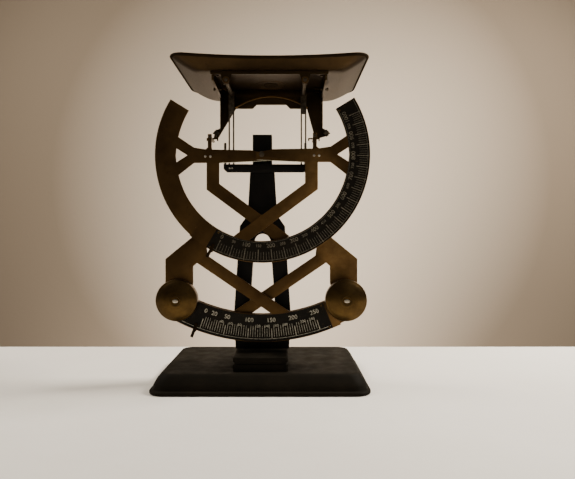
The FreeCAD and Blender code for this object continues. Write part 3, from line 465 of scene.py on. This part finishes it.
def make_pan():
    """The pressed pan: a flat floor with a soft bend up to flared sides, and a rolled rim."""
    low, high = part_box("pan")
    centre = (low + high) / 2
    half_x, half_y = (high.x - low.x) / 2, (high.y - low.y) / 2
    bead, sheet = 1.35 * MM, 0.9 * MM
    rim_x, rim_y = half_x - bead, half_y - bead
    floor_x, floor_y = half_x - 22 * MM, half_y - 10 * MM
    floor_corner, rim_corner = 9 * MM, 12 * MM
    end_height = high.z - low.z
    sag, bow = 4.2 * MM, 2.6 * MM
    bowed_band = 12 * MM
    bend = 1.3
    corner_steps, side_steps, straight = 14, 14, 20 * MM
    floor_rings, flare_rings = 8, 12
    middle_spot = Vector((centre.x, centre.y, low.z + sheet / 2))

    def ring_at(share):
        """The outline from the floor's edge, share 0, to the rim, share 1."""
        reach_x = floor_x + (rim_x - floor_x) * share
        reach_y = floor_y + (rim_y - floor_y) * share
        corner = floor_corner + (rim_corner - floor_corner) * share
        ring = rounded_ring(centre, reach_x, reach_y, corner, 0, corner_steps)
        points = []
        for start, end in zip(ring, ring[1:] + ring[:1]):
            pieces = side_steps if math.dist(start, end) > straight else 1
            for piece in range(pieces):
                part = piece / pieces
                x, y = (a + (b - a) * part for a, b in zip(start[:2], end[:2]))
                inward = 1 - ((x - centre.x) / reach_x) ** 2
                outward = bow * share * inward if abs(y - centre.y) > reach_y - bowed_band else 0
                top = end_height - sag * inward - bead
                points.append(Vector((x, y + math.copysign(outward, y - centre.y),
                                      low.z + sheet / 2 + (top - sheet / 2) * share ** bend)))
        return points

    def build(work):
        flare = [[work.verts.new(point) for point in ring_at(step / flare_rings)]
                 for step in range(flare_rings + 1)]
        edge = ring_at(0)
        floor = [[work.verts.new(middle_spot.lerp(point, step / floor_rings)) for point in edge]
                 for step in range(1, floor_rings)]
        bridge_all(work, floor + flare)
        hub = work.verts.new(middle_spot)
        for step, vert in enumerate(floor[0]):
            work.faces.new((hub, vert, floor[0][(step + 1) % len(floor[0])]))

    item = add_piece("pan_sheet", mesh_from(build), "carrier", "pan_brass", replaced=("pan",), smooth=60)
    solid = item.modifiers.new("thickness", "SOLIDIFY")
    solid.thickness = sheet
    solid.offset = 0
    tube("pan_rolled_rim", ring_at(1), bead, "carrier", "pan_brass", closed=True, material="dark_brass")
    make_boss(Vector((centre.x, middle("carrier_side_bars").y + 12 * MM, low.z)))
    make_pan_screws(centre.x, centre.y - 10 * MM)


def make_pan_screws(split_x, split_y):
    """A screw head, facing up, on each of the pan's screws, which lie in four groups round a point."""
    groups = {}
    for vert in nodes["pan_screws"].data.vertices:
        groups.setdefault((vert.co.x > split_x, vert.co.y > split_y), []).append(vert.co)
    for order, key in enumerate(sorted(groups)):
        group = groups[key]
        x = (min(v.x for v in group) + max(v.x for v in group)) / 2
        y = (min(v.y for v in group) + max(v.y for v in group)) / 2
        top = max(v.z for v in group)
        item = screw_head(f"pan_screw_head_{order}", 0, 0, 0, 2.1 * MM, 0.8 * MM, "carrier", slot="pan_brass",
                          material="aged_brass")
        turn = Matrix.Translation((x, y, top + 0.02 * MM)) @ Matrix.Rotation(math.radians(-90), 4, "X")
        item.data.transform(turn)


def make_boss(spot):
    """A small turned boss inside a raised ring, under the middle of the pan."""
    profile = [(0.4 * MM, -1.5 * MM), (2.6 * MM, -1.4 * MM), (3.2 * MM, -0.9 * MM), (5.6 * MM, -0.8 * MM),
               (6.2 * MM, -0.4 * MM), (6.2 * MM, 0.1 * MM)]
    boss = lathe("pan_boss", profile, Vector(), "carrier", "pan_brass", material="dark_brass")
    boss.data.transform(Matrix.Translation(spot) @ Matrix.Rotation(math.radians(90), 4, "X"))
    reach, wire = 13, 0.35 * MM
    ring = [spot + Vector((reach * math.cos(angle), reach * math.sin(angle), 0.0)) * MM
            for angle in round_turn(64)]
    tube("pan_boss_ring", ring, wire, "carrier", "pan_brass", closed=True)


def make_carrier():
    """The frame that carries the pan, its shafts, links and pins, and its two lobed thumbscrews."""
    for node in ("carrier_plate", "carrier_front_bar", "carrier_side_bars"):
        softened(node, 0.35 * MM, material="carrier_brass")
    for node in ("left_guide_link", "right_guide_link", "shaft_nuts", "left_hanger_shaft",
                 "right_hanger_shaft"):
        softened(node, 0.25 * MM)
    low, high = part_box("carrier_plate")
    centre = middle("pan").x
    rib_half, rib_rise, rib_wire = 33 * MM, 10.2 * MM, 0.9 * MM
    rib_foot = high.z - 16.3 * MM
    rib_steps = 32
    rib = []
    for step in range(rib_steps + 1):
        share = 2 * step / rib_steps - 1
        rib.append((centre + rib_half * share, low.y - 0.2 * MM, rib_foot + rib_rise * (1 - share ** 2)))
    tube("apron_rib", rib, rib_wire, "carrier", "aged_brass")
    softened("side_pins", 0.3 * MM, 3)
    low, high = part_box("leg_screws")
    height = middle("leg_screws").z
    inset = 2.1 * MM
    profile = [(0.6 * MM, low.y - 0.1 * MM), (1.5 * MM, low.y), (2.2 * MM, low.y + 0.3 * MM),
               (2.4 * MM, low.y + 0.8 * MM), (2.2 * MM, low.y + 1.4 * MM), (1.0 * MM, low.y + 1.6 * MM)]
    for side, x in (("left", low.x + inset), ("right", high.x - inset)):
        lathe(f"{side}_leg_screw_head", profile, Vector((x, 0, height)), "carrier", "steel", lobes=4)


# ---------------------------------------------------------------- weights and small hardware


def make_weight(side):
    """A turned, gently domed disc with fine grooves, a small central recess and its slotted screw."""
    node = side + "_weight"
    low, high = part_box(node)
    centre = middle(node)
    radius = (high.x - low.x) / 2
    front, back = low.y, high.y
    rim = back - 8 * MM
    recess, dish = 1.7 * MM, 0.9 * MM
    profile = [(recess, front + dish), (3.6 * MM, front + dish), (3.9 * MM, front + 0.35 * MM)]
    grooves, groove_half, groove_depth = (0.34, 0.66, 0.9), 0.014, 0.12 * MM
    dome_steps, dome_power = 30, 2.4
    for step in range(1, dome_steps + 1):
        share = 0.22 + 0.76 * step / dome_steps
        fall = (rim - front) * share ** dome_power
        dip = groove_depth if any(abs(share - spot) < groove_half for spot in grooves) else 0.0
        profile.append((radius * share, front + 0.2 * MM + fall * 0.96 + dip))
    profile += [(radius - 0.1 * MM, rim + 0.3 * MM), (radius, rim + 0.9 * MM), (radius, back - 0.9 * MM),
                (radius - 0.8 * MM, back), (recess, back)]
    body = nodes[node]["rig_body"]
    lathe(node + "_turned", profile, centre, body, "turned_brass", replaced=(node,))
    head_radius, head_height = 2.4 * MM, 0.9 * MM
    head = screw_head(f"{side}_weight_screw_head", centre.x, centre.z, front + 0.1 * MM, head_radius,
                      head_height, body, replaced=(node + "_screw",), slot_turn=0.2, material="bright_steel")
    oval = Matrix.Diagonal((1, 1, 0.62, 1))
    head.data.transform(Matrix.Translation(centre) @ oval @ Matrix.Translation(-centre))
    softened(node + "_post", 0.3 * MM)


def screw_head(name, x, z, front, radius, height, body, replaced=(), slot_turn=0.6, slot="steel",
               material=None):
    """A domed screw head that faces the front, with a sawn slot."""
    profile = ((1.0, height), (1.0, height * 0.35), (0.86, height * 0.1), (0.6, 0.0), (0.3, -0.02 * MM))
    slot_half, slot_depth = radius * 0.13, 0.45 * MM

    def build(work):
        rings = []
        for share, drop in profile:
            ring = []
            away = radius * share
            for angle in round_turn(40):
                px, pz = away * math.cos(angle), away * math.sin(angle)
                across = px * math.sin(slot_turn) - pz * math.cos(slot_turn)
                sawn = slot_depth if abs(across) < slot_half and drop < height * 0.5 else 0.0
                ring.append(work.verts.new((x + px, front + drop + sawn, z + pz)))
            rings.append(ring)
        bridge_all(work, rings)
        work.faces.new(rings[0])
        work.faces.new(rings[-1])
    return add_piece(name, mesh_from(build), body, slot, material, replaced, smooth=30)


DOME_PROFILE = ((1.0, 0.0), (0.97, 0.12), (0.82, 0.3), (0.55, 0.42), (0.2, 0.48))


def rivet_spots(node):
    """The middle of each of a node's separate rivets, from left to right."""
    work = welded(node)
    loose = set(work.verts)
    spots = []
    while loose:
        island, queue = [], [loose.pop()]
        while queue:
            vert = queue.pop()
            island.append(vert.co.copy())
            for edge in vert.link_edges:
                other = edge.other_vert(vert)
                if other in loose:
                    loose.discard(other)
                    queue.append(other)
        spots.append(sum(island, Vector()) / len(island))
    work.free()
    return sorted(spots, key=lambda spot: (round(spot.x, 4), round(spot.z, 4)))


def rivet_domes(node, name, radius, material):
    """A low dome over each of a node's separate rivets.  DOME_PROFILE is (share of radius, rise in mm)."""
    spots = rivet_spots(node)
    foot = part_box(node)[0].y + 0.45 * MM

    def build(work):
        for spot in spots:
            rings = []
            for share, rise in DOME_PROFILE:
                away = radius * share
                rings.append([work.verts.new((spot.x + away * math.cos(angle), foot - rise * MM,
                                              spot.z + away * math.sin(angle))) for angle in round_turn(24)])
            bridge_all(work, rings)
            work.faces.new(rings[0])
            work.faces.new(rings[-1])
    body = nodes[node]["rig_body"]
    add_piece(name, mesh_from(build), body, SLOT_OF[node], material, (node,), smooth=50)


# ---------------------------------------------------------------- graduations

FACE_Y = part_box("upper_scale_face")[0].y
RAISED = 0.09 * MM
SUNK = 0.05 * MM
UPPER_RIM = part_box("scale_lever_plate")[1].x
UPPER_WIDTH = 18.8 * MM
LOWER_RIM = FULCRUM.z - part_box("scale_lever_plate")[0].z
LOWER_WIDTH = 24.1 * MM


def upper_angle(grams):
    """Where a weight is marked on the upper face: the marks draw together as the load grows."""
    return math.radians(-25.7 + 0.16095 * grams - 2.15e-5 * grams ** 2)


def lower_angle(grams):
    """Where a weight is marked on the lower face: the marks are evenly spaced."""
    return math.radians(-19.6 + 0.1522 * grams)


def bar_on_arc(work, angle, inner, outer, width):
    """A raised mark along a radius."""
    along = Vector((math.sin(angle), 0, -math.cos(angle)))
    across = Vector((math.cos(angle), 0, math.sin(angle))) * width / 2
    corners = []
    for y in (FACE_Y + SUNK, FACE_Y - RAISED):
        for radius, side in ((inner, -1), (inner, 1), (outer, 1), (outer, -1)):
            spot = Vector((0, y, FULCRUM.z)) + along * radius + across * side
            corners.append(work.verts.new(spot))
    back, front = corners[:4], corners[4:]
    work.faces.new(front)
    work.faces.new(back[::-1])
    for step in range(4):
        after = (step + 1) % 4
        work.faces.new((front[step], back[step], back[after], front[after]))


def line_round_arc(work, radius, width, start, end):
    """A raised line along the arc, in steps of about 1.5 degrees."""
    steps = max(8, int(math.degrees(end - start) / 1.5))
    rows = []
    for step in range(steps + 1):
        angle = start + (end - start) * step / steps
        row = []
        for away, y in ((radius, FACE_Y + SUNK), (radius, FACE_Y - RAISED),
                        (radius + width, FACE_Y - RAISED), (radius + width, FACE_Y + SUNK)):
            row.append(work.verts.new(on_arc(away, angle, y)))
        rows.append(row)
    bridge_all(work, rows)
    work.faces.new(rows[0])
    work.faces.new(rows[-1][::-1])


def numeral(text, size, angle, radius):
    """Flat raised figures whose heads point at the fulcrum."""
    letters = bpy.data.curves.new("figures", "FONT")
    letters.body = text
    letters.size = size
    letters.align_x = "CENTER"
    letters.align_y = "CENTER"
    letters.extrude = RAISED
    letters.offset = size * 0.012
    letters.resolution_u = 3
    holder = bpy.data.objects.new("figures", letters)
    mesh = bpy.data.meshes.new_from_object(holder)
    bpy.data.objects.remove(holder)
    bpy.data.curves.remove(letters)
    spot = on_arc(radius, angle, FACE_Y)
    turn = Matrix.Rotation(-angle, 4, "Y") @ Matrix.Rotation(math.radians(90), 4, "X")
    mesh.transform(Matrix.Translation(spot) @ turn)
    return mesh


def add_marks(name, mesh, look):
    """A piece of graduations that rides on the front lever."""
    add_piece(name, mesh, "scale_lever", "scale_enamel", look)


def make_upper_scale():
    """0 to 1000 g: a mark every 10 g, a longer one every 50 g, and larger figures at the hundreds."""
    rim, inner = UPPER_RIM, UPPER_RIM - UPPER_WIDTH
    start, end = math.radians(-30), math.radians(120.6)

    def marks(work):
        for grams in range(0, 1001, 10):
            angle = upper_angle(grams)
            if grams % 50 == 0:
                bar_on_arc(work, angle, inner + 7.4 * MM, rim - 1.1 * MM, 0.62 * MM)
            else:
                bar_on_arc(work, angle, inner + 9.6 * MM, rim - 2.6 * MM, 0.30 * MM)

    def border(work):
        line_round_arc(work, rim - 2.2 * MM, 0.35 * MM, start, end)
        line_round_arc(work, inner + 1.1 * MM, 0.25 * MM, start, end)

    add_marks("upper_graduations", mesh_from(marks), "upper_marks")
    add_marks("upper_border_lines", mesh_from(border), "upper_marks")
    large, small, middle_line = 5.0 * MM, 3.3 * MM, inner + 4.3 * MM
    figures = []
    for grams in range(0, 1001, 50):
        size = large if grams % 100 == 0 else small
        figures.append(numeral(str(grams), size, upper_angle(grams), middle_line))
    add_marks("upper_figures", joined(figures), "upper_marks")


def make_lower_scale():
    """0 to 250 g: a mark every 5 g, long ones every 50 g, and two rows of figures."""
    rim, inner = LOWER_RIM, LOWER_RIM - LOWER_WIDTH
    start, end = math.radians(-26.4), math.radians(22.0)

    def marks(work):
        for grams in range(0, 251, 5):
            tall = grams % 50 == 0
            width = 0.62 * MM if tall else 0.36 * MM
            head = 10.2 * MM if grams % 20 and not tall else 12.6 * MM
            foot = 3.2 * MM if tall else 4.4 * MM
            bar_on_arc(work, lower_angle(grams), inner + head, rim - foot, width)

    def border(work):
        line_round_arc(work, rim - 2.9 * MM, 0.35 * MM, start, end)

    add_marks("lower_graduations", mesh_from(marks), "lower_marks")
    add_marks("lower_border_line", mesh_from(border), "lower_marks")
    rows = (((0, 20, 50, 100, 150, 200, 250), 5.2 * MM, inner + 5.4 * MM),
            ((40, 60, 80, 120, 140, 160, 180, 220, 240), 3.2 * MM, inner + 10.4 * MM))
    figures = [numeral(str(grams), size, lower_angle(grams), middle_line)
               for row, size, middle_line in rows for grams in row]
    add_marks("lower_figures", joined(figures), "lower_marks")


# ---------------------------------------------------------------- levers


def make_levers():
    """The lever plates with their brackets, pins, pointers and rivets, and a painted highlight wire along
    each bar's lower edge.
    """
    for node in ("scale_lever_plate", "plain_lever_plate", "left_load_bracket", "right_load_bracket",
                 "left_load_pin", "right_load_pin"):
        softened(node, 0.25 * MM)
    for node in ("upper_pointer", "lower_pointer"):
        softened(node, 0.2 * MM, material="dark_brass")
    # A thin pale brass wire along the lower edge of each lever's bar: a painted highlight where the polished
    # edge catches light from the table below.
    edge_ends = ((-4 * MM, 4.75 * MM), (37 * MM, 6.65 * MM))
    edge_wire = 0.22 * MM
    for name, side in (("scale", 1), ("plain", -1)):
        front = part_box(f"{name}_lever_plate")[0].y
        edge = [Vector((side * x, front, FULCRUM.z - drop)) for x, drop in edge_ends]
        tube(f"{name}_lever_painted_edge_highlight", edge, edge_wire, f"{name}_lever", "aged_brass",
             material="painted_highlight_brass")
    for side in ("left", "right"):
        rivet_domes(side + "_bracket_rivets", side + "_bracket_rivet_domes", 1.1 * MM, "bright_steel")
    rivet_domes("face_rivets", "face_rivet_domes", 0.95 * MM, "turned_brass")


# ---------------------------------------------------------------- stage


def pale_surface(name, deep, light, painted_light_centre=None):
    """A matt pale surface, with a painted pool of light round a point if one is given."""
    shader = Shader(name, 0.8, 0.0)
    tone = shader.noise(0.05, 3)
    if painted_light_centre:
        # Painted pool of light: the colour is lightest near the given point and fades to the deep colour away
        # from it.
        away = shader.add("ShaderNodeVectorMath", operation="DISTANCE")
        shader.feed(away.inputs[0], shader.place)
        away.inputs[1].default_value = painted_light_centre
        tone = shader.ramp(away.outputs["Value"], [(0.0, 1.0), (0.2, 0.75), (0.5, 0.0)])
    colour = shader.ramp(tone, [(0.0, deep), (1.0, light)])
    return shader.finish(colour, None, shader.noise(0.006, 4), 0.0003)


def make_floor():
    """A pale table and a cream wall some way behind it, with a painted pool of light on the wall, brightest
    behind the scale.
    """
    side, table_front, table_back = 2.4, -1.6, 0.14
    wall_y, wall_foot, wall_top = 0.62, -0.8, 1.8
    panels = {
        "floor": ([(-side, table_front, 0), (side, table_front, 0), (side, table_back, 0),
                   (-side, table_back, 0)],
                  pale_surface("pale_table", (0.86, 0.81, 0.74), (0.92, 0.88, 0.81))),
        "wall": ([(-side, wall_y, wall_foot), (side, wall_y, wall_foot), (side, wall_y, wall_top),
                  (-side, wall_y, wall_top)],
                 # The wall's painted pool of light is centred on the last point here.
                 pale_surface("cream_wall", (0.2, 0.152, 0.105), (0.66, 0.56, 0.45), (0.05, wall_y, 0.24))),
    }
    for name, (corners, material) in panels.items():
        mesh = bpy.data.meshes.new(name)
        mesh.from_pydata(corners, [], [(0, 1, 2, 3)])
        mesh.materials.append(material)
        panel = bpy.data.objects.new(name, mesh)
        bpy.context.scene.collection.objects.link(panel)


def area_light(name, spot, target, size, power, colour):
    """A round lamp that faces a point.  The power is in watts."""
    lamp = bpy.data.lights.new(name, "AREA")
    lamp.shape = "DISK"
    lamp.size = size
    lamp.energy = power
    lamp.color = colour
    item = bpy.data.objects.new(name, lamp)
    item.location = spot
    item.rotation_euler = (Vector(target) - Vector(spot)).to_track_quat("-Z", "Y").to_euler()
    bpy.context.scene.collection.objects.link(item)


def make_lights():
    """Two soft lamps high beside the scale, a lamp low behind the table and a weak front fill."""
    warm = (1.0, 0.93, 0.82)
    area_light("right_lamp", (0.6, 0.1, 0.66), (0.2, 0.16, 0.0), 0.2, 14.0, warm)
    area_light("left_lamp", (-0.6, 0.12, 0.7), (-0.05, 0.1, 0.0), 0.3, 5.5, warm)
    area_light("front_fill", (0.3, -1.1, 0.5), (0.0, 0.0, 0.13), 1.2, 0.6, (1.0, 0.95, 0.88))
    area_light("wall_lamp", (0.0, 0.3, -0.32), (0.0, 0.62, -0.05), 0.5, 6.5, (1.0, 0.93, 0.84))
    world = bpy.data.worlds.new("studio")
    world.use_nodes = True
    background = world.node_tree.nodes["Background"]
    background.inputs["Color"].default_value = (0.92, 0.86, 0.78, 1)
    background.inputs["Strength"].default_value = 0.15
    bpy.context.scene.world = world


def make_camera():
    """The reader's view: level with the middle of the scale and a little to its right."""
    look_down = 0.46
    data = bpy.data.cameras.new("camera")
    data.sensor_width = 36
    data.lens = 35.06
    data.dof.use_dof = False
    camera = bpy.data.objects.new("camera", data)
    camera.location = (0.0223, -0.501, 0.1282)
    camera.rotation_euler = (math.radians(90 - look_down), 0, 0)
    bpy.context.scene.collection.objects.link(camera)
    bpy.context.scene.camera = camera


for node_name, item in nodes.items():
    paint(item, SLOT_OF[node_name])

make_camera()
make_stand()
make_levers()
make_weight("left")
make_weight("right")
make_upper_scale()
make_lower_scale()
make_carrier()
make_pan()
make_floor()
make_lights()
